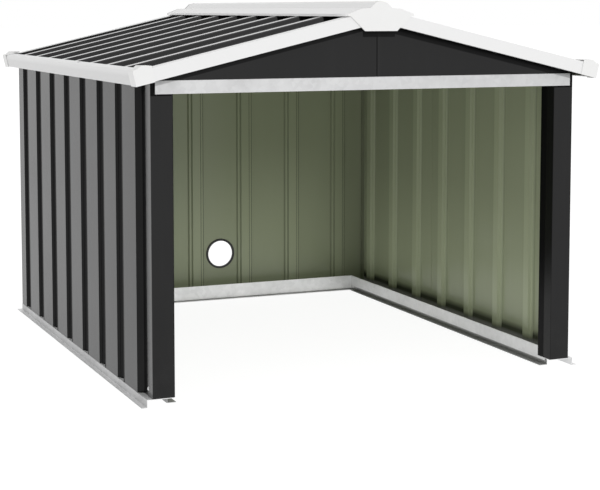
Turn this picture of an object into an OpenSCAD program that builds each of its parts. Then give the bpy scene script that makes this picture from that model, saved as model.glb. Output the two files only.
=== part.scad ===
// Robot mower garage: a small open-fronted sheet-steel shelter with a gable roof.
// It stands on folded base rails. Ribbed sheets make three walls and the two roof slopes.
// Millimetres, +Z up, the open front faces -Y, and the origin is on the ground under the middle.

/* [Body] */
// Width over the outer faces of the front posts
body_w = 910; // [700:10:1100]
// Depth from the front of the posts to the outside of the rear wall
body_d = 1048; // [800:4:1300]
// Height of the lower edge of the eave trims
eave_h = 606; // [480:2:760]
// How far the side walls stand out past the posts
wall_out = 11; // [9:0.5:20]
// Thickness of the wall and roof sheets
sheet_t = 0.8; // [0.5:0.1:1.2]

/* [Wall ribs] */
// Number of ribs along a side wall, besides the channel at the post
side_ribs = 7; // [5:1:8]
// Distance between the ribs of the rear wall
rear_pitch = 134; // [126:1:150]
// Narrowest flat strip at a corner of the rear wall
rear_edge = 20; // [12:1:40]
// How far the rib pattern of the rear wall sits off its middle
rear_shift = -9; // [-12:1:12]
// Width of a rib at its mouth
rib_mouth = 42; // [30:1:50]
// Width of a rib at its floor
rib_floor = 20; // [15:1:29]
// Share of a rib flank's width that the shoulder halfway down takes
rib_shoulder = 0.46; // [0.2:0.02:0.7]
// How far a rib is pressed inwards
rib_depth = 9.5; // [5:0.5:11]
// Flat strip between the rear corner and the rearmost side rib
corner_flat = 46; // [40:1:70]
// Distance from the front of the posts to the first flat strip of a side wall
channel_d = 62; // [50:1:90]
// Width of the strip where two sheets lap
sheet_lap = 16; // [8:1:30]

/* [Base rails] */
// Thickness of the galvanised steel
rail_t = 1.2; // [0.8:0.1:2]
// Height of the plate that the walls and posts stand on
plate_h = 16; // [10:1:30]
// Height of the inner web of a rail
web_h = 37; // [32:1:60]
// Width of the outer foot
foot_out = 10; // [5:1:25]
// Width of the inner foot, measured from the web
foot_in = 11; // [5:1:25]
// Height at which the web is folded back to the inner leg
web_low = 9.5; // [6:0.5:12]
// How far the inner leg is set back behind the web
leg_back = 6; // [3:1:12]
// Length of the corner brackets along the side rails
bracket_l = 146; // [80:2:200]
// Length of the straight stretch of a bracket's lower edge
bracket_straight = 92; // [20:2:100]

/* [Front posts] */
// Width of a post's front face
post_w = 44; // [36:1:48]
// Depth of the outer return of a post
post_out_d = 31; // [20:1:45]
// Depth of the inner return of a post
post_in_d = 48; // [20:1:60]
// Thickness of the post's steel
post_t = 1; // [0.8:0.1:1.5]

/* [Front header] */
// Height of the header bar over the opening
header_h = 25; // [18:1:36]
// How far the lower edge of the header lies below the eave trims
header_drop = 17; // [10:1:40]
// How far the header stands out in front of the posts
header_out = 4; // [3:0.5:8]
// Distance from the header's end to the outer face of the post
header_short = 8.5; // [2:0.5:20]
// Depth of the header's bottom flange
header_d = 38; // [20:1:60]
// Width of the lap between the two halves of a gable
gable_lap = 18; // [8:1:40]

/* [Roof] */
// Slope of the roof in degrees
roof_pitch = 13.1; // [8:0.1:20]
// How far the eave trims stand out past the side walls
eave_out = 24; // [16:1:60]
// How far the roof runs past the posts and past the rear wall
overhang = 32; // [24:1:60]
// Height of a roof rib
roof_rib_h = 7.2; // [4:0.2:14]
// Width of a roof rib at its top
roof_rib_top = 18; // [10:1:28]
// Width of a roof rib at its base
roof_rib_base = 34; // [30:1:50]
// Number of ribs along one slope between the edge ribs, an even number
roof_ribs = 8; // [6:2:10]

/* [Trims] */
// How far the lower edges of the trims lie below the roof sheets, square to the slope
trim_drop = 18.8; // [12:0.2:20]
// Height of the rake trims, square to the slope
rake_h = 25.5; // [23:0.5:40]
// Thickness of the trims
trim_t = 1; // [0.8:0.1:2]
// Width of the lip that the eave trims lay over the roof
eave_lip = 20; // [12:1:40]
// Width of the lip that the rake trims lay over the roof
rake_lip = 28; // [15:1:40]
// How far that lip runs past the foot of the roof's edge rib
lip_free = 6; // [2:0.5:8]
// Width of the return under the trims
trim_return = 9; // [4:1:20]
// Radius of the rounded upper edge of the eave trims
eave_r = 5; // [2:0.5:8]

/* [Corner caps] */
// Width of a cap along the slope
cap_w = 36; // [30:1:60]
// Depth of a cap along the eave
cap_d = 32; // [20:1:60]
// Wall of a cap
cap_t = 1.2; // [1:0.1:3]
// Distance from the cap's outer edge to its crest, up to which its top is level
crest_in = 16; // [12:1:28]
// Width of the slope on the outer side of the crest
crest_slope = 9; // [4:1:12]
// How far a cap reaches below the trims
cap_skirt = 1.2; // [0.5:0.1:3]

/* [Ridge] */
// Half width of the ridge cap
ridge_half = 70; // [50:1:110]
// Half width of its raised middle
hat_half = 23; // [16:1:30]
// Height of the raised middle above the shoulders
hat_h = 13.5; // [6:0.5:24]
// Half width of the flatter crown of the middle
crown_half = 12; // [6:1:14]
// Rise of the crown
crown_h = 3; // [1:0.2:5]
// Half width over the shoulders
shoulder_half = 42; // [34:1:48]
// Fall of the shoulders
shoulder_fall = 1.2; // [0.4:0.2:3]
// Rise of each wing from its edge to the shoulder
wing_rise = 10.4; // [6:0.2:18]
// Height of the turned down edge of the cap
ridge_lip = 4.5; // [3:0.5:8]
// Height of the ridge ends, from their lower edge to the foot of the raised middle
shield_drop = 44.3; // [36:0.1:60]
// Half width of the ridge ends at their lower edge
shield_foot = 34; // [20:1:50]
// Width of the level tips of the ridge ends
shield_tip = 6; // [2:1:12]

/* [Cable hole] */
// Clear diameter of the cable hole
hole_d = 67; // [30:1:72]
// Height of the middle of the hole above the ground
hole_z = 110; // [75:1:300]
// Width of the grommet's flange around the hole
grommet_w = 5.5; // [3:0.5:8]

/* [Hidden] */

// Gap between pieces that lie on each other
seat = 0.2;
$fn = 48;

// Colours
c_dark = [0.19, 0.19, 0.19];
c_galv = [0.76, 0.77, 0.76];
c_white = [0.94, 0.94, 0.94];
c_rubber = [0.13, 0.13, 0.12];

// Small sizes that only fit pieces to each other
over = 1;
foot_cut = 24;
rear_web_low = 3;
channel_flank = 6;
bracket_rise = 16.5;
corner_flange = 20;
grommet_lip = 2;
grommet_wall = 1.5;
grommet_bevel = 1;
top_rail_h = 30;
top_rail_d = 25;
top_rail_gap = 2;
ridge_gap = 6;
edge_gap = 1;
rake_gap = 6;
shield_t = 3.5;
shield_wall = 1.2;
plug_d = 12;
cap_r = 3;

// Places of the walls
front = -body_d / 2;
rear = body_d / 2;
post_x = body_w / 2;
wall_x = post_x + wall_out;
web_in = wall_out + post_w - post_t - seat;
web_x = wall_x - web_in;
side_pitch = (body_d - channel_d - corner_flat) / side_ribs;
floor_z = plate_h + seat;

// Heights under the roof. The roof is measured at the lower outer edge of the eave trims.
rise = tan(roof_pitch);
roof_x = wall_x + eave_out;
function trim_low(x) = eave_h + rise * (roof_x - x);
function sheet_top(x) = trim_low(x) + trim_drop / cos(roof_pitch);
function sheet_low(x) = sheet_top(x) - sheet_t / cos(roof_pitch);
function rib_top(x) = sheet_top(x) + roof_rib_h / cos(roof_pitch);
header_low = eave_h - header_drop;
header_top = header_low + header_h;
wall_top = sheet_low(wall_x) - seat;

// Section of the ridge cap, from the ground up: its lips stand on the roof ribs
ridge_low = rib_top(ridge_half - trim_t) + sheet_t / cos(roof_pitch) + seat;
wing_low = ridge_low + ridge_lip;
shoulder_low = wing_low + wing_rise;
hat_low = shoulder_low + shoulder_fall;
apex = hat_low + hat_h;

// Trims and ribs square to the slope, measured from the roof sheets' upper face
trim_base = -trim_drop;
rake_top = rake_h - trim_drop;
edge_top = rake_top - trim_t - seat;
eave_top = roof_rib_h + sheet_t + seat + trim_t;

// Ends of the roof
roof_end = body_d / 2 + overhang;
edge_foot = roof_end - rake_lip + lip_free;

// Half sections of a rib from its mouth inwards. Those of the walls are pressed in, in two steps.
wall_flank = (rib_mouth - rib_floor) / 2;
wall_steep = wall_flank * (1 - rib_shoulder) / 2;
wall_rib = [[rib_mouth / 2, 0], [rib_mouth / 2 - wall_steep, -rib_depth / 2],
    [rib_floor / 2 + wall_steep, -rib_depth / 2], [rib_floor / 2, -rib_depth]];
roof_rib = [[roof_rib_base / 2, 0], [roof_rib_top / 2, roof_rib_h]];

// Line of a ribbed sheet's outer face, running along X. Each place is the middle of a rib.
function ribbed(places, half) =
    [for (p = places, q = concat([for (h = half) [-h[0], h[1]]], backwards(half))) [p + q[0], q[1]]];

// A folded sheet: its outer face follows the line, and its thickness goes to the left of the line,
// or to the right where t is negative
function unit(v) = v / norm(v);
function left(v) = [-v[1], v[0]];
function side_of(line, i) = left(unit(line[i + 1] - line[i]));
function miter(a, b) = (a + b) / (1 + a * b);
function shifted(line, t) =
    let (last = len(line) - 1)
    [for (i = [0:last])
        line[i] + t * (i == 0 ? side_of(line, 0)
            : i == last ? side_of(line, last - 1)
            : miter(side_of(line, i - 1), side_of(line, i)))];
function backwards(list) = [for (i = [len(list) - 1:-1:0]) list[i]];
module folded(line, t) {
    polygon(concat(line, backwards(shifted(line, t))));
}

// Points of an arc from one angle to another
function arc(middle, r, from, to, steps = 6) =
    [for (i = [0:steps]) let (a = from + (to - from) * i / steps) middle + r * [cos(a), sin(a)]];

// Copies for the other side and the other end
module other_side() {
    mirror([1, 0, 0]) children();
}
module other_end() {
    mirror([0, 1, 0]) children();
}

// Stretches an outline in the X-Z plane along Y
module along_y(from, to) {
    translate([0, to, 0]) rotate([90, 0, 0]) linear_extrude(to - from) children();
}
// Stretches an outline in the Y-Z plane along X
module along_x(from, to) {
    translate([from, 0, 0]) rotate([90, 0, 90]) linear_extrude(to - from) children();
}
// Lays what is drawn along +X down the right-hand slope, with the roof sheets' upper face at Z = 0
module down_slope() {
    translate([0, 0, sheet_top(0)]) rotate([0, roof_pitch, 0]) children();
}
// Where the lower outer edge of the eave trims lies on that slope
slope_edge = roof_x / cos(roof_pitch) + trim_drop * rise;

// Section of a base rail, with the outer face of the wall at X = 0 and the inside at +X
module rail_section(low) {
    back_x = web_in - leg_back;
    t = rail_t;
    polygon([[-foot_out, 0], [t, 0], [t, plate_h - t], [back_x - t, plate_h - t], [back_x - t, 0],
        [web_in + foot_in, 0], [web_in + foot_in, t], [back_x, t], [back_x, plate_h - t],
        [web_in - t, plate_h - t], [web_in - t, low], [web_in, low], [web_in, web_h],
        [web_in - t, web_h], [web_in - t, plate_h], [0, plate_h], [0, t], [-foot_out, t]]);
}

// Base rails, mitred at the rear corners
module rail_side() {
    reach = web_in + 3 * foot_in;
    color(c_galv)
        difference() {
            along_y(front + seat, rear + foot_out)
                translate([-wall_x, 0])
                    rail_section(web_low);
            // The web stops behind the front face of the post
            translate([-web_x - 2 * rail_t, front - over, plate_h])
                cube([3 * rail_t, post_t + seat + over, web_h]);
            // The inner foot stops further back
            translate([-web_x - leg_back - 2 * rail_t, front - over, -over])
                cube([leg_back + foot_in + 3 * rail_t, foot_cut + over, plate_h + over - rail_t]);
            translate([-wall_x, rear, -over])
                linear_extrude(web_h + 2 * over)
                    polygon([[-2 * foot_out, 2 * foot_out], [reach, -reach], [reach, 2 * foot_out]]);
        }
}
module rail_left() {
    rail_side();
}
module rail_right() {
    other_side() rail_side();
}
module rail_rear() {
    reach = web_in + 3 * foot_in;
    color(c_galv)
        difference() {
            rotate([0, 0, -90])
                along_y(-wall_x - foot_out, wall_x + foot_out)
                    translate([-rear, 0])
                        rail_section(rear_web_low);
            for (side = [-1, 1])
                translate([side * wall_x, rear, -over])
                    linear_extrude(web_h + 2 * over)
                        polygon([[side * 3 * foot_out, 3 * foot_out], [side * 3 * foot_out, -reach],
                            [-side * reach, -reach]]);
        }
}

// Brackets that join the webs of the rails at the rear corners. The lower edge rises from the
// corner, then curves up to the top of the web.
bracket_low = rear_web_low + seat;
module rail_bracket() {
    end = rear - web_in - seat;
    bend = end - bracket_straight;
    curve = [for (a = [0:15:90])
        [bend - (bracket_l - bracket_straight) * sin(a), web_h - (web_h - bracket_rise) * cos(a)]];
    color(c_galv)
        along_x(-web_x + seat, -web_x + seat + rail_t)
            polygon(concat([[end, web_h], [end, bracket_low]], curve));
}
module rail_bracket_left() {
    rail_bracket();
}
module rail_bracket_right() {
    other_side() rail_bracket();
}

// Side walls: two ribbed sheets each. At the front the sheet steps in behind the post's return.
side_places = [for (k = [0:side_ribs - 1]) rear - corner_flat - rib_mouth / 2 - k * side_pitch];
side_lap = side_places[floor(side_ribs / 2)] + side_pitch / 2;
channel_depth = wall_out + post_t + seat;
channel_start = front + post_t + seat;
module side_sheet(from, to, inset) {
    line = concat(
        [[channel_start, -channel_depth], [front + channel_d - channel_flank, -channel_depth],
            [front + channel_d, 0]],
        ribbed(backwards(side_places), wall_rib),
        [[rear, 0]]);
    translate([-wall_x + inset, 0, floor_z])
        rotate([0, 0, 90])
            linear_extrude(wall_top - floor_z)
                intersection() {
                    folded(line, -sheet_t);
                    translate([from, -2 * channel_depth])
                        square([to - from, 3 * channel_depth]);
                }
}
module side_wall_front() {
    color(c_dark) side_sheet(front, side_lap + sheet_lap / 2, 0);
}
module side_wall_rear() {
    color(c_dark) side_sheet(side_lap - sheet_lap / 2, rear, sheet_t);
}
module side_wall_left_front() {
    side_wall_front();
}
module side_wall_left_rear() {
    side_wall_rear();
}
module side_wall_right_front() {
    other_side() side_wall_front();
}
module side_wall_right_rear() {
    other_side() side_wall_rear();
}

// Rear wall: two ribbed sheets with a flange at each corner, and the cable hole in the right one.
// The hole lies between the two ribs right of the middle, and the sheets lap on the left.
rear_x = wall_x - 2 * sheet_t - seat;
rear_ribs = 1 + floor((2 * (rear_x - rear_edge - abs(rear_shift)) - rib_mouth) / rear_pitch);
rear_places = [for (k = [0:rear_ribs - 1]) rear_shift + (k - (rear_ribs - 1) / 2) * rear_pitch];
rear_middle = rear_places[floor(rear_ribs / 2)];
rear_lap = rear_middle - rear_pitch / 2;
hole_x = rear_middle + rear_pitch / 2;
module rear_sheet(from, to, inset) {
    line = concat([[-rear_x, -corner_flange], [-rear_x, 0]],
        ribbed(rear_places, wall_rib),
        [[rear_x, 0], [rear_x, -corner_flange]]);
    translate([0, rear - inset, floor_z])
        linear_extrude(header_top - seat - floor_z)
            intersection() {
                folded(line, -sheet_t);
                translate([from, -2 * corner_flange])
                    square([to - from, 3 * corner_flange]);
            }
}
module rear_wall_left() {
    color(c_dark) rear_sheet(-wall_x, rear_lap + sheet_lap / 2, sheet_t);
}
module rear_wall_right() {
    color(c_dark)
        difference() {
            rear_sheet(rear_lap - sheet_lap / 2, wall_x, 0);
            translate([hole_x, rear + over, hole_z])
                rotate([90, 0, 0])
                    cylinder(h = sheet_t + 2 * over, d = hole_d + 2 * (grommet_wall + seat));
        }
}
module cable_grommet() {
    r = hole_d / 2;
    face = sheet_t / 2 + seat;
    half = [[r, face + grommet_lip], [r + grommet_w - grommet_bevel, face + grommet_lip],
        [r + grommet_w, face], [r + grommet_wall, face]];
    color(c_rubber)
        translate([hole_x, rear - sheet_t / 2, hole_z])
            rotate([-90, 0, 0])
                rotate_extrude($fn = 72)
                    polygon(concat(half, [for (p = backwards(half)) [p[0], -p[1]]]));
}

// Front posts: channels that are open to the back
module front_post_left() {
    line = [[-post_x, front + post_out_d], [-post_x, front], [-post_x + post_w, front],
        [-post_x + post_w, front + post_in_d]];
    color(c_dark)
        translate([0, 0, floor_z])
            linear_extrude(header_top - seat - floor_z)
                folded(line, post_t);
}
module front_post_right() {
    other_side() front_post_left();
}

// Header: a galvanised channel across the opening, in front of the posts
module header() {
    face = front - header_out;
    half = post_x - header_short;
    between = post_x - post_w - seat;
    color(c_galv)
        difference() {
            along_x(-half, half)
                folded([[front - seat, header_top], [face, header_top], [face, header_low],
                    [face + header_d, header_low]], rail_t);
            for (side = [-1, 1])
                translate([side > 0 ? between : -half - over, front - seat, header_low - over])
                    cube([half + over - between, header_d, header_h]);
        }
}

// Galvanised angles along the tops of the walls, under the roof
module top_rail_left() {
    x = -wall_x + rib_depth + 2 * sheet_t + seat;
    low = wall_top - top_rail_h;
    color(c_galv)
        along_y(front + channel_d, rear - corner_flange - top_rail_gap)
            folded([[x, wall_top], [x, low], [x + top_rail_d, low]], rail_t);
}
module top_rail_right() {
    other_side() top_rail_left();
}
module top_rail_rear() {
    y = rear - rib_depth - 2 * sheet_t - seat;
    low = header_top - top_rail_h / 2;
    half = wall_x - rib_depth - 2 * sheet_t - top_rail_d - 2 * top_rail_gap;
    color(c_galv)
        along_x(-half, half)
            folded([[y, low + top_rail_h], [y, low], [y - top_rail_d, low]], -rail_t);
}

// Gables: two flat sheets at each end, the left one lapping over the right one
module gable_half(inner, outer) {
    polygon([[-inner, header_top], [outer, header_top], [outer, sheet_low(outer) - seat],
        [0, sheet_low(0) - seat], [-inner, sheet_low(inner) - seat]]);
}
module gable_front_left() {
    color(c_dark)
        along_y(front, front + sheet_t)
            mirror([1, 0]) gable_half(gable_lap / 2, post_x);
}
module gable_front_right() {
    color(c_dark)
        along_y(front + sheet_t, front + 2 * sheet_t)
            gable_half(gable_lap / 2, post_x);
}
module gable_rear_left() {
    color(c_dark)
        along_y(rear - sheet_t, rear)
            mirror([1, 0]) gable_half(gable_lap / 2, rear_x);
}
module gable_rear_right() {
    color(c_dark)
        along_y(rear - 2 * sheet_t, rear - sheet_t)
            gable_half(gable_lap / 2, rear_x);
}

// Roof: two ribbed sheets on each slope. The front ones lap over the rear ones. Both end in a lower
// edge rib that carries the lip of the rake trim, and the ribs are spaced evenly between those.
roof_step = (2 * edge_foot + roof_rib_base) / (roof_ribs + 1);
roof_places = [for (k = [0:roof_ribs - 1]) (k - (roof_ribs - 1) / 2) * roof_step];
module roof_sheet(from, to, up) {
    edge_rib = [[edge_foot, 0], [(edge_foot + roof_end) / 2, edge_top - up],
        [roof_end - trim_t - edge_gap, edge_top - up]];
    line = concat([for (p = backwards(edge_rib)) [-p[0], p[1]]], ribbed(roof_places, roof_rib), edge_rib);
    color(c_dark)
        down_slope()
            translate([0, 0, up])
                along_x(ridge_gap, slope_edge - trim_t - edge_gap)
                    intersection() {
                        folded(line, -sheet_t);
                        translate([from, -roof_rib_h])
                            square([to - from, 2 * rake_h]);
                    }
}
module roof_right_front() {
    roof_sheet(-roof_end, sheet_lap / 2, sheet_t);
}
module roof_right_rear() {
    roof_sheet(-sheet_lap / 2, roof_end, 0);
}
module roof_left_front() {
    other_side() roof_right_front();
}
module roof_left_rear() {
    other_side() roof_right_rear();
}

// Ridge cap and the moulded ends that close it
ridge_side = [[crown_half, apex - crown_h], [hat_half, hat_low], [shoulder_half, shoulder_low],
    [ridge_half, wing_low], [ridge_half, ridge_low]];
ridge_line = concat([for (p = backwards(ridge_side)) [-p[0], p[1]]], [[0, apex]], ridge_side);
module ridge_cap() {
    color(c_white)
        along_y(-roof_end + seat, roof_end - seat)
            folded(ridge_line, -trim_t);
}
module ridge_end_front() {
    low = hat_low - shield_drop;
    color(c_white) {
        along_y(-roof_end - shield_t, -roof_end)
            polygon(concat(ridge_line, [[ridge_half - shield_tip, ridge_low], [shield_foot, low],
                [-shield_foot, low], [-ridge_half + shield_tip, ridge_low]]));
        // The rim that plugs into the cap
        along_y(-roof_end - shield_t / 2, -roof_end + plug_d)
            folded(shifted(ridge_line, -trim_t - seat), -shield_wall);
    }
}
module ridge_end_rear() {
    other_end() ridge_end_front();
}

// Eave trims along the lower edges of the roof
module eave_trim_right() {
    s = slope_edge;
    color(c_white)
        down_slope()
            along_y(-roof_end + rake_lip + seat, roof_end - rake_lip - seat)
                folded(concat([[s - trim_return, trim_base], [s, trim_base]],
                    arc([s - eave_r, eave_top - eave_r], eave_r, 0, 90),
                    [[s - eave_lip, eave_top]]), trim_t);
}
module eave_trim_left() {
    other_side() eave_trim_right();
}

// Rake trims along the sloping edges of the roof
module rake_trim_front_right() {
    y = -roof_end;
    color(c_white)
        down_slope()
            along_x(rake_gap, slope_edge - seat)
                folded([[y + trim_return, trim_base], [y, trim_base], [y, rake_top],
                    [y + rake_lip, rake_top]], -trim_t);
}
module rake_trim_front_left() {
    other_side() rake_trim_front_right();
}
module rake_trim_rear_right() {
    other_end() rake_trim_front_right();
}
module rake_trim_rear_left() {
    other_side() rake_trim_rear_right();
}

// Moulded caps over the corners of the roof: open shells over the ends of the trims. The top of
// a cap is level up to its crest and falls to the rounded outer edge.
module corner_cap() {
    out = seat + cap_t;
    s = slope_edge;
    top = eave_top + out;
    low = trim_base - cap_skirt;
    inner = s - cap_w;
    color(c_white)
        down_slope()
            difference() {
                along_y(-roof_end - out, -roof_end + cap_d)
                    polygon(concat([[inner, low], [s + out, low]],
                        arc([s + out - cap_r, top - cap_r], cap_r, 0, 90),
                        [[s - crest_in + crest_slope, top], [s - crest_in, top + (cap_w - crest_in) * rise],
                            [inner, top]]));
                along_y(-roof_end - seat, -roof_end + cap_d + over)
                    translate([inner - over, low - over])
                        square([cap_w + seat + over, eave_top + seat - low + over]);
            }
}
module corner_cap_front_right() {
    corner_cap();
}
module corner_cap_front_left() {
    other_side() corner_cap();
}
module corner_cap_rear_right() {
    other_end() corner_cap();
}
module corner_cap_rear_left() {
    other_side() other_end() corner_cap();
}

rail_left();
rail_right();
rail_rear();
rail_bracket_left();
rail_bracket_right();
side_wall_left_front();
side_wall_left_rear();
side_wall_right_front();
side_wall_right_rear();
rear_wall_left();
rear_wall_right();
cable_grommet();
front_post_left();
front_post_right();
header();
top_rail_left();
top_rail_right();
top_rail_rear();
gable_front_left();
gable_front_right();
gable_rear_left();
gable_rear_right();
roof_left_front();
roof_left_rear();
roof_right_front();
roof_right_rear();
ridge_cap();
ridge_end_front();
ridge_end_rear();
eave_trim_left();
eave_trim_right();
rake_trim_front_left();
rake_trim_front_right();
rake_trim_rear_left();
rake_trim_rear_right();
corner_cap_front_left();
corner_cap_front_right();
corner_cap_rear_left();
corner_cap_rear_right();
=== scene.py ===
"""Looks of the robot mower garage: materials, small fixings, studio and camera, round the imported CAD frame."""

import math

import bmesh
import bpy
from mathutils import Matrix, Vector


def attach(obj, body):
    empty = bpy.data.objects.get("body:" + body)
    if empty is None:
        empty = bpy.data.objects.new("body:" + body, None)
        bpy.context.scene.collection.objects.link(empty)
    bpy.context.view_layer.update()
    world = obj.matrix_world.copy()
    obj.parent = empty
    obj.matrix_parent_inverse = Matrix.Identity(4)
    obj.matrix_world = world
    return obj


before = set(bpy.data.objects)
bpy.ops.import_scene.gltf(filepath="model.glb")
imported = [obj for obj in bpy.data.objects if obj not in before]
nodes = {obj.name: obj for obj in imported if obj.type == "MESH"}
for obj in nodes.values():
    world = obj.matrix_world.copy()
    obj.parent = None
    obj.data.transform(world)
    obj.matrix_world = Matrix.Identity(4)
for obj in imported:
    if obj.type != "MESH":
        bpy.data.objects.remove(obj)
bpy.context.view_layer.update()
MM = 0.001

# Colours, as linear values: mostly the surfaces' own, with painted light and shade where marked.
CHARCOAL = (0.0040, 0.0040, 0.0043)
CHARCOAL_DUST = (0.014, 0.014, 0.014)
# painted light: the roof sheets' ends in the shade under the rake trims' lips are made paler
UNDER_TRIM_PAINTED_LIGHT = (0.09, 0.09, 0.09)
SAGE = (0.315, 0.350, 0.230)
SAGE_DUST = (0.40, 0.42, 0.33)
FOOT_GREY = (0.285, 0.288, 0.270)
WHITE_PAINT = (0.82, 0.82, 0.82)
# the eave trims' white, darker than the same paint on the rakes as painted shade
WHITE_EAVE_PAINTED_SHADE = (0.74, 0.74, 0.74)
WHITE_DUST = (0.72, 0.715, 0.70)
WHITE_PLASTIC = (0.825, 0.825, 0.82)
ZINC = (0.74, 0.742, 0.745)
ZINC_DARK = (0.60, 0.602, 0.605)
# the rails' zinc, lighter than the rest as painted light
ZINC_PAINTED_LIGHT = (0.94, 0.942, 0.945)
RUBBER = (0.012, 0.012, 0.012)
RUBBER_WORN = (0.03, 0.03, 0.03)

# Roughness of the whites and of the crests' clear coat, then the specular levels of the coats.
PAINT_ROUGH = 0.36
PLASTIC_ROUGH = 0.44
CREST_ROUGH = 0.06
WHITE_GLOSS = 0.25
SHEET_GLOSS = 0.3
SIDE_GLOSS = 0.175
POST_GLOSS = 0.27

# Zinc: its roughness, what the dark patches add to that, and how much its clouds and its spangle darken it.
ZINC_ROUGH = 0.38
ZINC_DULLING = 0.16
ZINC_CLOUD = 0.65
ZINC_SPANGLE = 0.35
HEADER_PAINTED_SHADE = 0.83  # painted shade: the header's zinc is set darker, as a share of the zinc's colour

# How much dust the clouds, the splashes from the ground and the rain streaks bring.
CLOUD_ON_CHARCOAL = 0.25
CLOUD_ON_SAGE = 0.20
CLOUD_ON_WHITE = 0.10
SPLASH_DUST = 0.7
STREAK_DUST = 0.25
DUST_ON_SAGE = 0.3  # share of the dust on the charcoal
GRIME_ON_WHITE = 0.3
STREAK_STRETCH = (6.0, 6.0, 0.5)
NOISE_SPAN = (0.3, 0.7)  # where most levels of a noise lie

# Places on the garage, in metres of the CAD frame, which each mesh shares.
TRIM_AT_RIDGE = 0.720  # lower edge of the rake trims, carried up to the middle line
TRIM_SLOPE = 0.2327  # fall of the roof for each metre outwards
SHIELD_LOW = 0.7035  # lower edge of the ridge ends
SHIELD_MIDDLE = 0.012  # middle of the shade below a ridge end, and its half width
SHIELD_HALF = 0.035
GABLE_SEAM = 0.009  # lap of the two gable sheets
RIB_START = 0.436  # front edge of the rearmost rib of the side walls
RIB_PITCH = 0.134286
RIB_COUNT = 7
RIB_SHADE = 0.0085  # width of the strip that lies in a rib's shade
SIDE_OUTER_FLAT = 0.4645  # beyond this, a side wall's weather side is a flat
CHANNEL_BEHIND = -0.4675  # ahead of this, the side wall is its channel at the post
CREST = 0.7462  # tops of the roof ribs, carried up to the middle line
RIDGE_JOINT = 0.556  # where the ridge cap meets the rear ridge end
RAIL_INNER = 0.43  # inside this, a side rail is its inner foot
RAIL_CORNER = 0.45  # behind this, the rails meet

# Ramps: a place's start and end, then the levels at both, which are 0 and 1 where none are given.
STEEP = (0.25, 0.5)  # share of the normal, from which a face counts as the flank of a rib
SPLASHED = (0.16, 0.0)  # z that splashes from the ground reach
SIDE_RIB = (0.4640, 0.4625)  # |x| at the foot of a rib
SIDE_CROWN = (0.4590, 0.4580)  # |x| at its crown
SIDE_TO_MOUTH = (0.5, -0.5, -0.10, 0.08)  # y, painted light towards the mouth
SIDE_LOW = (0.34, 0.07, 0.0, 0.26)  # z, painted light towards the ground
SIDE_FOOT_PAINTED_SHADE = (0.0475, 0.0335)  # z on a flat, of the painted shade over the foot
SIDE_FOOT_GREY = (0.0280, 0.0205)  # z
REAR_RIB = (0.5220, 0.5205)  # |y| at the foot of a rib
REAR_CORNER = (0.4590, 0.4630)  # |x|, painted shade in the corners
REAR_RIGHT = (0.36, 0.43, 0.0, 0.08)  # x, painted shade towards the right
REAR_TOP = (0.30, 0.60, 0.0, 0.09)  # z, painted light towards the top
CHANNEL_TOP = (0.575, 0.600)  # z of the channel, under the eave
SEAM_LEFT = (0.0018, 0.001)  # distance from the dark line of the seam and from its painted highlight
SEAM_RIGHT = (0.0025, 0.001)
POST_LOW = (0.20, 0.14, 0.08, 0.125)  # z, gloss of a post's inner return, lowered as painted shade
POST_BACK = (-0.4990, -0.4975, 1.0, 0.2)  # y, share of that gloss at the return's back
POST_FRONT = (0.4115, 0.4125)  # |x| from the inner return to the front
POST_OUTER = (0.4542, 0.4549, 0.0, 0.22)  # |x| from the front to the outer side, which gets a painted sheen
POST_TOP = (0.5848, 0.5860)  # z of the part in the header's shade
ROOF_UNDER = (0.5270, 0.5285)  # |y| of the sheets' ends, under the rake trims, where light is painted into their shade
CREST_COAT = (CREST - 0.0008, CREST, 0.0, 0.8)
EAVE_ROLL = (0.622, 0.631, 0.94, 1.08)  # z, over which the eave's painted light rises
RIDGE_LIP = (0.90, 0.97, 1.0, 1.22)  # share of the normal across the ridge, over which the lip gets its painted highlight
RIDGE_JOINT_LINE = (0.0022, 0.0034, 0.35, 1.0)  # distance from the joint
RIDGE_END_FACE = (0.4, 0.6)  # share of the normal along the ridge
RAIL_WEATHER = (0.3, 0.8, 1.0, 0.62)  # share of the normal towards the weather
RAIL_FOOT = (0.0110, 0.0095)  # z of the painted shade on the inner foot

SHADE_DEEP = 0.0120  # reach of the trims' whole shade and of its darkest part, and half its soft edge
SHADE_CORE = 0.0055
SHADE_SOFT = 0.001
STRIP_SOFT = 0.002  # soft edge of the strip in a rib's shade
FOOT_DROP = 0.010  # how much lower the band of painted shade over the foot lies on the ribs
OUTWARD = 0.02  # share of the normal above which a face looks outward

# Painted light and shade on the sage inside, as a share of its colour: each wall's level, then what each place
# adds or takes.
SIDE_TONE = 0.94
SIDE_RIB_GAIN = 0.28
SIDE_CROWN_LOSS = 0.12
REAR_TONE = 1.02
REAR_RIB_GAIN = 0.05
REAR_FLANK_LOSS = 0.27
REAR_RIGHT_FLANK_LOSS = 0.50
REAR_CORNER_LOSS = 0.15

# What painted shade takes from a gloss or from the zinc, or a painted highlight adds, as a share of it.
STRIP_LOSS = 0.95
CHANNEL_LOSS = 0.7
POST_TOP_LOSS = 0.85
GABLE_LOSS = 0.62
GABLE_CORE_LOSS = 0.12
GABLE_SEAM_GAIN = 0.12
HEADER_LOSS = 0.38
RAIL_FOOT_LOSS = 0.45

LEFT, RIGHT, FRONT, REAR, UP = (-1, 0, 0), (1, 0, 0), (0, -1, 0), (0, 1, 0), (0, 0, 1)


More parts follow.
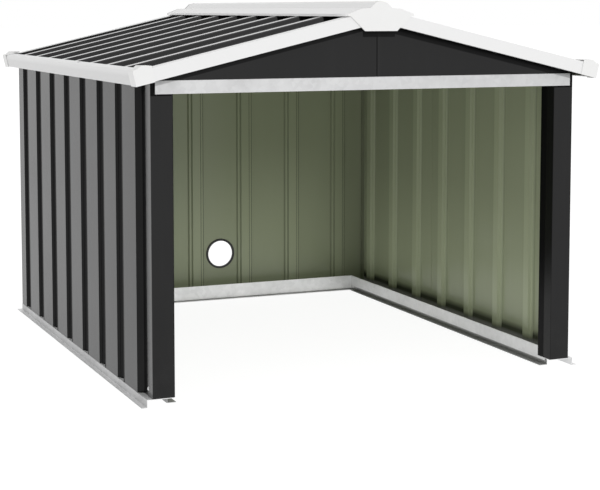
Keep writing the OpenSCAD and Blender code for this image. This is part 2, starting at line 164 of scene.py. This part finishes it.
class Shade:
    """A material whose nodes are added one call at a time; each call returns the output socket."""

    def __init__(self, name):
        self.material = bpy.data.materials.new(name)
        self.material.use_nodes = True
        self.tree = self.material.node_tree
        self.tree.nodes.clear()
        self.end = self.node("ShaderNodeOutputMaterial")
        self.where = self.node("ShaderNodeTexCoord").outputs["Object"]
        self.normal = self.node("ShaderNodeNewGeometry").outputs["True Normal"]
        self.x, self.y, self.z = self.parts(self.where)

    def node(self, kind, **settings):
        made = self.tree.nodes.new(kind)
        for key, value in settings.items():
            setattr(made, key, value)
        return made

    def feed(self, socket, value):
        """Links a socket, or sets a plain value."""
        if isinstance(value, bpy.types.NodeSocket):
            self.tree.links.new(value, socket)
        elif hasattr(value, "__len__") and len(value) == 3 and socket.type == "RGBA":
            socket.default_value = (*value, 1)
        else:
            socket.default_value = value

    def parts(self, vector):
        made = self.node("ShaderNodeSeparateXYZ")
        self.feed(made.inputs[0], vector)
        return made.outputs

    def calc(self, operation, a, b=0.0, c=0.0, clamp=False):
        made = self.node("ShaderNodeMath", operation=operation, use_clamp=clamp)
        for socket, value in zip(made.inputs, (a, b, c)):
            self.feed(socket, value)
        return made.outputs[0]

    def plus(self, a, b):
        return self.calc("ADD", a, b)

    def minus(self, a, b, clamp=False):
        return self.calc("SUBTRACT", a, b, clamp=clamp)

    def times(self, a, b):
        return self.calc("MULTIPLY", a, b)

    def line(self, value, gain, base, clamp=False):
        """The value times a gain, plus a base."""
        return self.calc("MULTIPLY_ADD", value, gain, base, clamp=clamp)

    def size(self, value):
        return self.calc("ABSOLUTE", value)

    def away(self, value, middle):
        """The distance from a middle."""
        return self.size(self.minus(value, middle))

    def over(self, value, limit):
        return self.calc("GREATER_THAN", value, limit)

    def under(self, value, limit):
        return self.calc("LESS_THAN", value, limit)

    def remap(self, value, low, high, to_low=0.0, to_high=1.0):
        made = self.node("ShaderNodeMapRange")
        for socket, number in zip(made.inputs, (value, low, high, to_low, to_high)):
            self.feed(socket, number)
        return made.outputs[0]

    def noise(self, scale, detail=2.0, roughness=0.5, stretch=None):
        made = self.node("ShaderNodeTexNoise")
        place = self.where
        if stretch:
            mapping = self.node("ShaderNodeMapping")
            self.feed(mapping.inputs["Vector"], place)
            self.feed(mapping.inputs["Scale"], stretch)
            place = mapping.outputs[0]
        self.feed(made.inputs["Vector"], place)
        for key, value in (("Scale", scale), ("Detail", detail), ("Roughness", roughness)):
            self.feed(made.inputs[key], value)
        return made.outputs["Fac"]

    def cells(self, scale):
        """One level for each cell of a crystal pattern."""
        made = self.node("ShaderNodeTexVoronoi")
        self.feed(made.inputs["Vector"], self.where)
        self.feed(made.inputs["Scale"], scale)
        return self.parts(made.outputs["Color"])["X"]

    def mix(self, factor, a, b):
        """A colour between two; sockets 6 and 7 are the Mix node's colours."""
        made = self.node("ShaderNodeMix", data_type="RGBA")
        for socket, value in zip((made.inputs["Factor"], made.inputs[6], made.inputs[7]), (factor, a, b)):
            self.feed(socket, value)
        return made.outputs[2]

    def scaled(self, color, factor):
        """A colour made lighter or darker by a factor."""
        made = self.node("ShaderNodeVectorMath", operation="SCALE")
        self.feed(made.inputs[0], color)
        self.feed(made.inputs["Scale"], factor)
        return made.outputs[0]

    def facing(self, direction):
        """How far the true normal points along a direction."""
        made = self.node("ShaderNodeVectorMath", operation="DOT_PRODUCT")
        self.feed(made.inputs[0], self.normal)
        self.feed(made.inputs[1], direction)
        return made.outputs["Value"]

    def bump(self, height, strength, distance, after=None):
        made = self.node("ShaderNodeBump")
        for key, value in (("Height", height), ("Strength", strength), ("Distance", distance)):
            self.feed(made.inputs[key], value)
        if after:
            self.feed(made.inputs["Normal"], after)
        return made.outputs["Normal"]

    def finish(self, color, roughness, normal, **plain):
        """Closes the material; further inputs of the shader are named with _ for a space."""
        shader = self.node("ShaderNodeBsdfPrincipled")
        inputs = {"Base Color": color, "Roughness": roughness, "Normal": normal}
        inputs.update((key.replace("_", " "), value) for key, value in plain.items())
        for key, value in inputs.items():
            self.feed(shader.inputs[key], value)
        self.tree.links.new(shader.outputs[0], self.end.inputs["Surface"])
        return self.material


def trim_shade(s, deep):
    """1 where the rake trims and the ridge ends cast their shade, down to a depth below them."""
    edge = s.line(s.size(s.x), -TRIM_SLOPE, TRIM_AT_RIDGE)
    trims = s.remap(s.minus(edge, s.z), deep + SHADE_SOFT, deep - SHADE_SOFT)
    aside = s.remap(s.away(s.x, SHIELD_MIDDLE), SHIELD_HALF + SHADE_SOFT, SHIELD_HALF - SHADE_SOFT)
    low = s.remap(s.z, SHIELD_LOW - deep - SHADE_SOFT, SHIELD_LOW - deep + SHADE_SOFT)
    return s.calc("MAXIMUM", trims, s.times(aside, low))


def side_inside(s, green):
    """Sage of a side wall in painted light: its ribs lighter than the flats, and lighter towards the mouth and the
    ground.

    Painted shade lies as a dark band over its foot, lower on the ribs, with a grey strip under the band.
    """
    depth = s.size(s.x)
    rib = s.remap(depth, *SIDE_RIB)
    flank = s.remap(s.size(s.facing(REAR)), *STEEP)
    crown = s.minus(s.remap(depth, *SIDE_CROWN), flank, clamp=True)
    tone = s.line(crown, -SIDE_CROWN_LOSS, s.line(rib, SIDE_RIB_GAIN, SIDE_TONE))
    tone = s.plus(tone, s.remap(s.y, *SIDE_TO_MOUTH))
    tone = s.plus(tone, s.remap(s.z, *SIDE_LOW))
    tone = s.minus(tone, s.remap(s.line(rib, FOOT_DROP, s.z), *SIDE_FOOT_PAINTED_SHADE))
    return s.mix(s.remap(s.z, *SIDE_FOOT_GREY), s.scaled(green, tone), FOOT_GREY)


def rear_inside(s, green):
    """Sage of the rear wall in painted shade: darker on its ribs' flanks, most on the right ones, in the corners
    and to the right; painted light at the top.
    """
    rib = s.remap(s.size(s.y), *REAR_RIB)
    flank = s.remap(s.size(s.facing(RIGHT)), *STEEP)
    right_flank = s.remap(s.facing(RIGHT), *STEEP)
    tone = s.line(rib, REAR_RIB_GAIN, REAR_TONE)
    tone = s.minus(tone, s.times(flank, REAR_FLANK_LOSS))
    tone = s.minus(tone, s.times(right_flank, REAR_RIGHT_FLANK_LOSS))
    tone = s.minus(tone, s.times(s.remap(s.size(s.x), *REAR_CORNER), REAR_CORNER_LOSS))
    tone = s.minus(tone, s.remap(s.x, *REAR_RIGHT))
    return s.scaled(green, s.plus(tone, s.remap(s.z, *REAR_TOP)))


def side_gloss(s):
    """Gloss of a side wall, taken away as painted shade in the strip in each rib's shade and at the top of the
    channel.
    """
    along = s.minus(RIB_START, s.y)
    place = s.calc("FLOORED_MODULO", along, RIB_PITCH)
    strip = s.times(s.remap(place, RIB_SHADE, RIB_SHADE - STRIP_SOFT), s.under(along, RIB_COUNT * RIB_PITCH))
    strip = s.times(s.times(strip, s.over(s.size(s.x), SIDE_OUTER_FLAT)), s.over(along, 0.0))
    top = s.times(s.under(s.y, CHANNEL_BEHIND), s.remap(s.z, *CHANNEL_TOP))
    return s.times(s.line(strip, -STRIP_LOSS * SIDE_GLOSS, SIDE_GLOSS), s.line(top, -CHANNEL_LOSS, 1.0))


def post_gloss(s):
    """Gloss of a front post, set as painted shade and sheen: weak on its inner return and in the header's shade,
    full on its front and most on its outer side.
    """
    across = s.size(s.x)
    inner = s.times(s.remap(s.z, *POST_LOW), s.remap(s.y, *POST_BACK))
    level = s.plus(s.remap(across, *POST_FRONT, inner, POST_GLOSS), s.remap(across, *POST_OUTER))
    top = s.times(s.remap(s.z, *POST_TOP), s.over(s.facing(FRONT), 0.5))
    return s.times(level, s.line(top, -POST_TOP_LOSS, 1.0))


def gable_gloss(s):
    """Gloss of a gable, less in the painted shade of the trims and along the seam, with a painted highlight beside
    the seam.
    """
    dark_line = s.remap(s.away(s.x, GABLE_SEAM - 0.0012), *SEAM_LEFT)
    seam_highlight = s.remap(s.away(s.x, GABLE_SEAM + 0.003), *SEAM_RIGHT)
    shade = s.calc("MAXIMUM", trim_shade(s, SHADE_DEEP), dark_line)
    level = s.line(shade, -GABLE_LOSS * SHEET_GLOSS, SHEET_GLOSS)
    level = s.line(trim_shade(s, SHADE_CORE), -GABLE_CORE_LOSS * SHEET_GLOSS, level)
    return s.line(seam_highlight, GABLE_SEAM_GAIN * SHEET_GLOSS, level)


def coated_sheet(name, outward, gloss=None, inside=None, roof=False):
    """Coil-coated steel: charcoal on the side that faces outward, or on both if that is None, else sage.

    gloss gives its specular level, inside paints light and shade on its sage, and roof adds painted light on the
    ends under the rake trims and shining crests.
    """
    s = Shade(name)
    cloud = s.noise(3.2, detail=3.0)
    speck = s.noise(420.0, detail=2.0, roughness=0.6)
    splash = s.remap(s.noise(26.0, detail=4.0, roughness=0.6), 0.35, 0.75)
    splash = s.times(s.remap(s.z, *SPLASHED), splash)
    streak = s.remap(s.noise(9.0, detail=3.0, roughness=0.55, stretch=STREAK_STRETCH), 0.52, 0.85)
    dust = s.line(splash, SPLASH_DUST, s.times(streak, STREAK_DUST), clamp=True)
    dark = s.mix(s.line(cloud, CLOUD_ON_CHARCOAL, dust, clamp=True), CHARCOAL, CHARCOAL_DUST)
    green = s.mix(s.line(cloud, CLOUD_ON_SAGE, s.times(dust, DUST_ON_SAGE), clamp=True), SAGE, SAGE_DUST)
    if inside:
        green = inside(s, green)
    coat = {}
    if roof:
        # Painted light: the sheets' ends in the shade under the rake trims' lips are made paler.
        dark = s.mix(s.remap(s.size(s.y), *ROOF_UNDER), dark, UNDER_TRIM_PAINTED_LIGHT)
        crest = s.remap(s.line(s.size(s.x), TRIM_SLOPE, s.z), *CREST_COAT)
        coat = {"Coat_Weight": crest, "Coat_Roughness": CREST_ROUGH}
    color = s.mix(s.over(s.facing(outward), OUTWARD) if outward else 1.0, green, dark)
    roughness = s.plus(s.remap(speck, *NOISE_SPAN, -0.03, 0.03), s.remap(cloud, *NOISE_SPAN, 0.17, 0.24))
    wave = s.bump(s.noise(5.0, detail=1.0), strength=0.25, distance=0.002)
    peel = s.bump(s.noise(900.0, detail=1.0), strength=0.08, distance=0.0002, after=wave)
    level = gloss(s) if gloss else SHEET_GLOSS
    return s.finish(color, roughness, peel, Specular_IOR_Level=level, Diffuse_Roughness=0.5, **coat)


def eave_painted_light(s):
    """Painted light and shade on an eave trim: paler over its rolled edge, which faces up, darker below it."""
    return s.remap(s.z, *EAVE_ROLL)


def ridge_highlight_and_joint(s):
    """The ridge has a lip made lighter as a painted highlight, and a dark joint before its rear end."""
    lip = s.remap(s.size(s.facing(RIGHT)), *RIDGE_LIP)
    joint = s.remap(s.away(s.y, RIDGE_JOINT), *RIDGE_JOINT_LINE)
    end_face = s.remap(s.size(s.facing(REAR)), *RIDGE_END_FACE)
    return s.times(lip, s.calc("MAXIMUM", joint, end_face))


def white_coat(name, color, rough, shading=None):
    """Satin white: painted steel or moulded plastic, with a little grey dust in its clouds."""
    s = Shade(name)
    cloud = s.noise(6.0, detail=3.0)
    grime = s.remap(s.noise(34.0, detail=5.0, roughness=0.65), 0.55, 0.8, 0.0, 0.35)
    dust = s.line(cloud, CLOUD_ON_WHITE, s.times(grime, GRIME_ON_WHITE), clamp=True)
    tint = s.mix(dust, color, WHITE_DUST)
    if shading:
        tint = s.scaled(tint, shading(s))
    roughness = s.remap(s.noise(260.0), *NOISE_SPAN, rough - 0.04, rough + 0.04)
    wave = s.bump(s.noise(4.0, detail=1.0), strength=0.2, distance=0.002)
    peel = s.bump(s.noise(700.0, detail=1.0), strength=0.10, distance=0.0002, after=wave)
    return s.finish(tint, roughness, peel, Specular_IOR_Level=WHITE_GLOSS)


def header_tone(s):
    """The header lies in the trims' shade at its ends."""
    return s.line(trim_shade(s, SHADE_DEEP), -HEADER_LOSS, 1.0)


def rail_tone(weather):
    """A rail is darker on the side that faces out, and in painted shade on its inner foot."""
    def tone(s):
        foot = s.times(s.remap(s.z, *RAIL_FOOT), s.under(s.size(s.x), RAIL_INNER))
        foot = s.times(foot, s.under(s.y, RAIL_CORNER))
        return s.times(s.remap(s.facing(weather), *RAIL_WEATHER), s.line(foot, -RAIL_FOOT_LOSS, 1.0))
    return tone


def galvanised(name, light, deep, shading=None):
    """Hot-dip zinc: large soft clouds over fine spangle, duller in the dark patches."""
    s = Shade(name)
    cloud = s.remap(s.noise(14.0, detail=4.0, roughness=0.6), 0.35, 0.7, 0.0, ZINC_CLOUD)
    tone = s.line(s.cells(110.0), ZINC_SPANGLE, cloud, clamp=True)
    color = s.mix(tone, light, deep)
    if shading:
        color = s.scaled(color, shading(s))
    brushed = s.bump(s.noise(60.0), strength=0.15, distance=0.001)
    return s.finish(color, s.line(tone, ZINC_DULLING, ZINC_ROUGH), brushed, Metallic=0.4)


def rubber(name):
    """Black rubber, a little paler where it is worn."""
    s = Shade(name)
    tint = s.mix(s.noise(60.0, detail=3.0), RUBBER, RUBBER_WORN)
    grain = s.bump(s.noise(500.0), strength=0.2, distance=0.0002)
    return s.finish(tint, s.remap(s.noise(300.0), *NOISE_SPAN, 0.5, 0.65), grain)


def dimmed(color, share):
    return tuple(share * part for part in color)


# Materials by the start of a node's name; the angles under the roof and the fixings are plain zinc.
zinc = galvanised("galvanised_steel", ZINC, ZINC_DARK)
finishes = {
    "side_wall_left": coated_sheet("coated_side_left", LEFT, side_gloss, side_inside),
    "side_wall_right": coated_sheet("coated_side_right", RIGHT, side_gloss, side_inside),
    "rear_wall": coated_sheet("coated_rear", REAR, inside=rear_inside),
    "gable_front": coated_sheet("coated_gable_front", FRONT, gable_gloss),
    "gable_rear": coated_sheet("coated_gable_rear", REAR, gable_gloss),
    "roof": coated_sheet("coated_roof", UP, roof=True),
    "front_post": coated_sheet("coated_post", None, post_gloss),
    "header": galvanised(
        "galvanised_header", dimmed(ZINC, HEADER_PAINTED_SHADE), dimmed(ZINC_DARK, HEADER_PAINTED_SHADE), header_tone),
    "rake_trim": white_coat("white_painted_steel", WHITE_PAINT, PAINT_ROUGH),
    "eave_trim": white_coat("white_eave_painted_shade", WHITE_EAVE_PAINTED_SHADE, PAINT_ROUGH, eave_painted_light),
    "ridge_cap": white_coat("white_painted_ridge", WHITE_PAINT, PAINT_ROUGH, ridge_highlight_and_joint),
    "ridge_end": white_coat("white_moulded_ridge_end", WHITE_PLASTIC, PLASTIC_ROUGH, ridge_highlight_and_joint),
    "corner_cap": white_coat("white_moulded_plastic", WHITE_PLASTIC, PLASTIC_ROUGH),
    "cable_grommet": rubber("black_rubber"),
}
# Painted light: the rails' zinc is lighter than the rest, by a share for each rail, most on the rear one.
for side, weather, share in (("left", LEFT, 0.94), ("right", RIGHT, 0.90), ("rear", REAR, 1.0)):
    finishes["rail_" + side] = finishes["rail_bracket_" + side] = galvanised(
        "galvanised_rail_" + side, dimmed(ZINC_PAINTED_LIGHT, share), ZINC, rail_tone(weather))

for name, node in nodes.items():
    node.data.materials.clear()
    node.data.materials.append(next((made for start, made in finishes.items() if name.startswith(start)), zinc))


def turned(mesh, profile, steps):
    """Adds a closed form turned round Z from (radius, height) pairs; the first and last sit on the axis."""
    rings = []
    for radius, height in profile[1:-1]:
        angles = [2 * math.pi * k / steps for k in range(steps)]
        rings.append([mesh.verts.new((radius * math.cos(a), radius * math.sin(a), height)) for a in angles])
    for low_ring, high_ring in zip(rings, rings[1:]):
        for k in range(steps):
            n = (k + 1) % steps
            mesh.faces.new((low_ring[k], low_ring[n], high_ring[n], high_ring[k]))
    for ring, height, flip in ((rings[0], profile[0][1], True), (rings[-1], profile[-1][1], False)):
        tip = mesh.verts.new((0, 0, height))
        for k in range(steps):
            pair = (ring[k], ring[(k + 1) % steps])
            mesh.faces.new((*(reversed(pair) if flip else pair), tip))


HEAD_STEPS = 32
HEAD_SUNK = 0.6 * MM
HEAD_FLANGE = 1.35  # radius of the pressed flange, as a share of the head's
# Section of a pan head from its flange to the foot of its recess, as shares of its radius and height.
HEAD_SECTION = ((HEAD_FLANGE, 0.15), (1.02, 0.3), (1.0, 0.62), (0.82, 0.88), (0.5, 1.0), (0.22, 1.0), (0.16, 0.45))
RECESS_FLOOR = 0.4
RECESS_REACH = (0.1, 0.4)  # radii between which the recess becomes a cross
CROSS_REACH = 0.9
CROSS_SHARPNESS = 6


def pan_head(radius, height):
    """A pan head with its pressed flange and a cross recess, its foot sunk a little below Z = 0."""
    mesh = bmesh.new()
    section = [(0, -HEAD_SUNK), (HEAD_FLANGE * radius, -HEAD_SUNK)]
    section += [(r * radius, h * height) for r, h in HEAD_SECTION]
    turned(mesh, section + [(0, RECESS_FLOOR * height)], HEAD_STEPS)
    for corner in mesh.verts:
        if RECESS_REACH[0] * radius < corner.co.xy.length < RECESS_REACH[1] * radius:
            turn = math.atan2(corner.co.y, corner.co.x)
            star = 1 + CROSS_REACH * abs(math.cos(2 * turn)) ** CROSS_SHARPNESS
            corner.co.x *= star
            corner.co.y *= star
    data = bpy.data.meshes.new("pan_head")
    mesh.to_mesh(data)
    mesh.free()
    for face in data.polygons:
        face.use_smooth = True
    return data


def fixing(name, data, place, way):
    """Sets a zinc fixing at a place in millimetres, its head looking along way."""
    made = bpy.data.objects.new(name, data.copy())
    made.data.materials.append(zinc)
    turn = Vector(way).to_track_quat("Z", "Y").to_matrix().to_4x4()
    made.matrix_world = Matrix.Translation(Vector(place) * MM) @ turn
    bpy.context.scene.collection.objects.link(made)
    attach(made, "root")


post_head = pan_head(3.1 * MM, 2.0 * MM)
roof_head = pan_head(3.6 * MM, 1.0 * MM)
for side, sign in (("left", -1), ("right", 1)):
    fixing("post_screw_" + side, post_head, (sign * 455, -499, 31), (sign, 0, 0))
    fixing("eave_screw_" + side, roof_head, (sign * 482, -122.5, 637.2), (sign * 0.227, 0, 0.974))
for end, y in (("front", -544), ("rear", 544)):
    fixing("ridge_screw_" + end, roof_head, (0, y, 760.2), UP)

# Studio: white floor and surround, and one soft frontal key. Cameras, gloss and glass see them at one
# level and other rays at another.
SEEN = ("Is Camera Ray", "Is Glossy Ray", "Is Transmission Ray")
WORLD_LIGHT = 0.82
KEY_AIM = Vector((0, 0, 0.35))
KEY_TOWARDS = Vector((0.13, -1.0, 0.31)).normalized()
KEY_DISTANCE = 6.0
KEY_SIZE = 1.25
KEY_WATTS = 62.0
FLOOR_SEEN = (0.90, 0.25)  # what the floor shines by itself, and what share of light it gives back
FLOOR_LIGHTS = (0.74, 0.15)
FLOOR_HALF = 60.0
DARK_SIDE = (-0.8, -0.6, 0.0)
DARK_SIDE_RAMP = (0.35, 0.9, 1.0, 0.4)  # share of a ray along the dark side, then the level there


def mixed(tree, others, shown, kinds, end=None):
    """One shader for the named kinds of ray and another for all others."""
    path = tree.nodes.new("ShaderNodeLightPath")
    total = path.outputs[kinds[0]]
    for kind in kinds[1:]:
        larger = tree.nodes.new("ShaderNodeMath")
        larger.operation = "MAXIMUM"
        tree.links.new(total, larger.inputs[0])
        tree.links.new(path.outputs[kind], larger.inputs[1])
        total = larger.outputs[0]
    made = tree.nodes.new("ShaderNodeMixShader")
    for socket, value in zip(made.inputs, (total, others, shown)):
        tree.links.new(value, socket)
    if end:
        tree.links.new(made.outputs[0], end)
    return made.outputs[0]


def background(tree, strength):
    """A plain white surround."""
    made = tree.nodes.new("ShaderNodeBackground")
    made.inputs["Color"].default_value = (1, 1, 1, 1)
    made.inputs["Strength"].default_value = strength
    return made


def glowing(tree, glow, albedo):
    """A floor that partly shines by itself and partly takes light and shadow."""
    pale = tree.nodes.new("ShaderNodeBsdfDiffuse")
    pale.inputs["Color"].default_value = (albedo, albedo, albedo, 1)
    light = tree.nodes.new("ShaderNodeEmission")
    light.inputs["Strength"].default_value = glow
    both = tree.nodes.new("ShaderNodeAddShader")
    tree.links.new(pale.outputs[0], both.inputs[0])
    tree.links.new(light.outputs[0], both.inputs[1])
    return both.outputs[0]


scene = bpy.context.scene
world = bpy.data.worlds.new("studio")
scene.world = world
world.use_nodes = True
sky = world.node_tree
sky.nodes.clear()

# The surround is darker on the camera's left, which only the gloss shows; the camera sees plain white.
mirrored = background(sky, 1.0)
way = sky.nodes.new("ShaderNodeVectorMath")
way.operation = "DOT_PRODUCT"
sky.links.new(sky.nodes.new("ShaderNodeTexCoord").outputs["Generated"], way.inputs[0])
way.inputs[1].default_value = DARK_SIDE
flag = sky.nodes.new("ShaderNodeMapRange")
flag.interpolation_type = "SMOOTHSTEP"
for socket, number in zip(flag.inputs[1:5], DARK_SIDE_RAMP):
    socket.default_value = number
sky.links.new(way.outputs["Value"], flag.inputs[0])
sky.links.new(flag.outputs[0], mirrored.inputs["Strength"])
studio = mixed(sky, background(sky, WORLD_LIGHT).outputs[0], mirrored.outputs[0], SEEN[1:])
surface = sky.nodes.new("ShaderNodeOutputWorld").inputs["Surface"]
mixed(sky, studio, background(sky, 1.0).outputs[0], SEEN[:1], surface)

mesh = bpy.data.meshes.new("studio_floor")
corners = [(x * FLOOR_HALF, y * FLOOR_HALF, 0) for x, y in ((-1, -1), (1, -1), (1, 1), (-1, 1))]
mesh.from_pydata(corners, [], [(0, 1, 2, 3)])
floor = bpy.data.objects.new("studio_floor", mesh)
scene.collection.objects.link(floor)
ground = bpy.data.materials.new("studio_floor")
ground.use_nodes = True
tree = ground.node_tree
tree.nodes.clear()
surface = tree.nodes.new("ShaderNodeOutputMaterial").inputs["Surface"]
mixed(tree, glowing(tree, *FLOOR_LIGHTS), glowing(tree, *FLOOR_SEEN), SEEN, surface)
mesh.materials.append(ground)

lamp = bpy.data.lights.new("key", "AREA")
lamp.shape = "DISK"
lamp.size = KEY_SIZE
lamp.energy = KEY_WATTS
key = bpy.data.objects.new("key", lamp)
key.location = KEY_AIM + KEY_TOWARDS * KEY_DISTANCE
key.rotation_euler = KEY_TOWARDS.to_track_quat("Z", "Y").to_euler()
scene.collection.objects.link(key)

# Camera, solved from the photograph.
view = bpy.data.cameras.new("camera")
view.lens = 93.3155
view.sensor_width = 36.0
view.shift_x = 0.0059
view.shift_y = -0.1539
view.clip_end = 500.0
camera = bpy.data.objects.new("camera", view)
camera.location = (-1.3085, -3.2707, 0.7432)
camera.rotation_euler = (math.radians(84.7725), 0, math.radians(-22.644))
scene.collection.objects.link(camera)
scene.camera = camera

scene.view_settings.view_transform = "Standard"
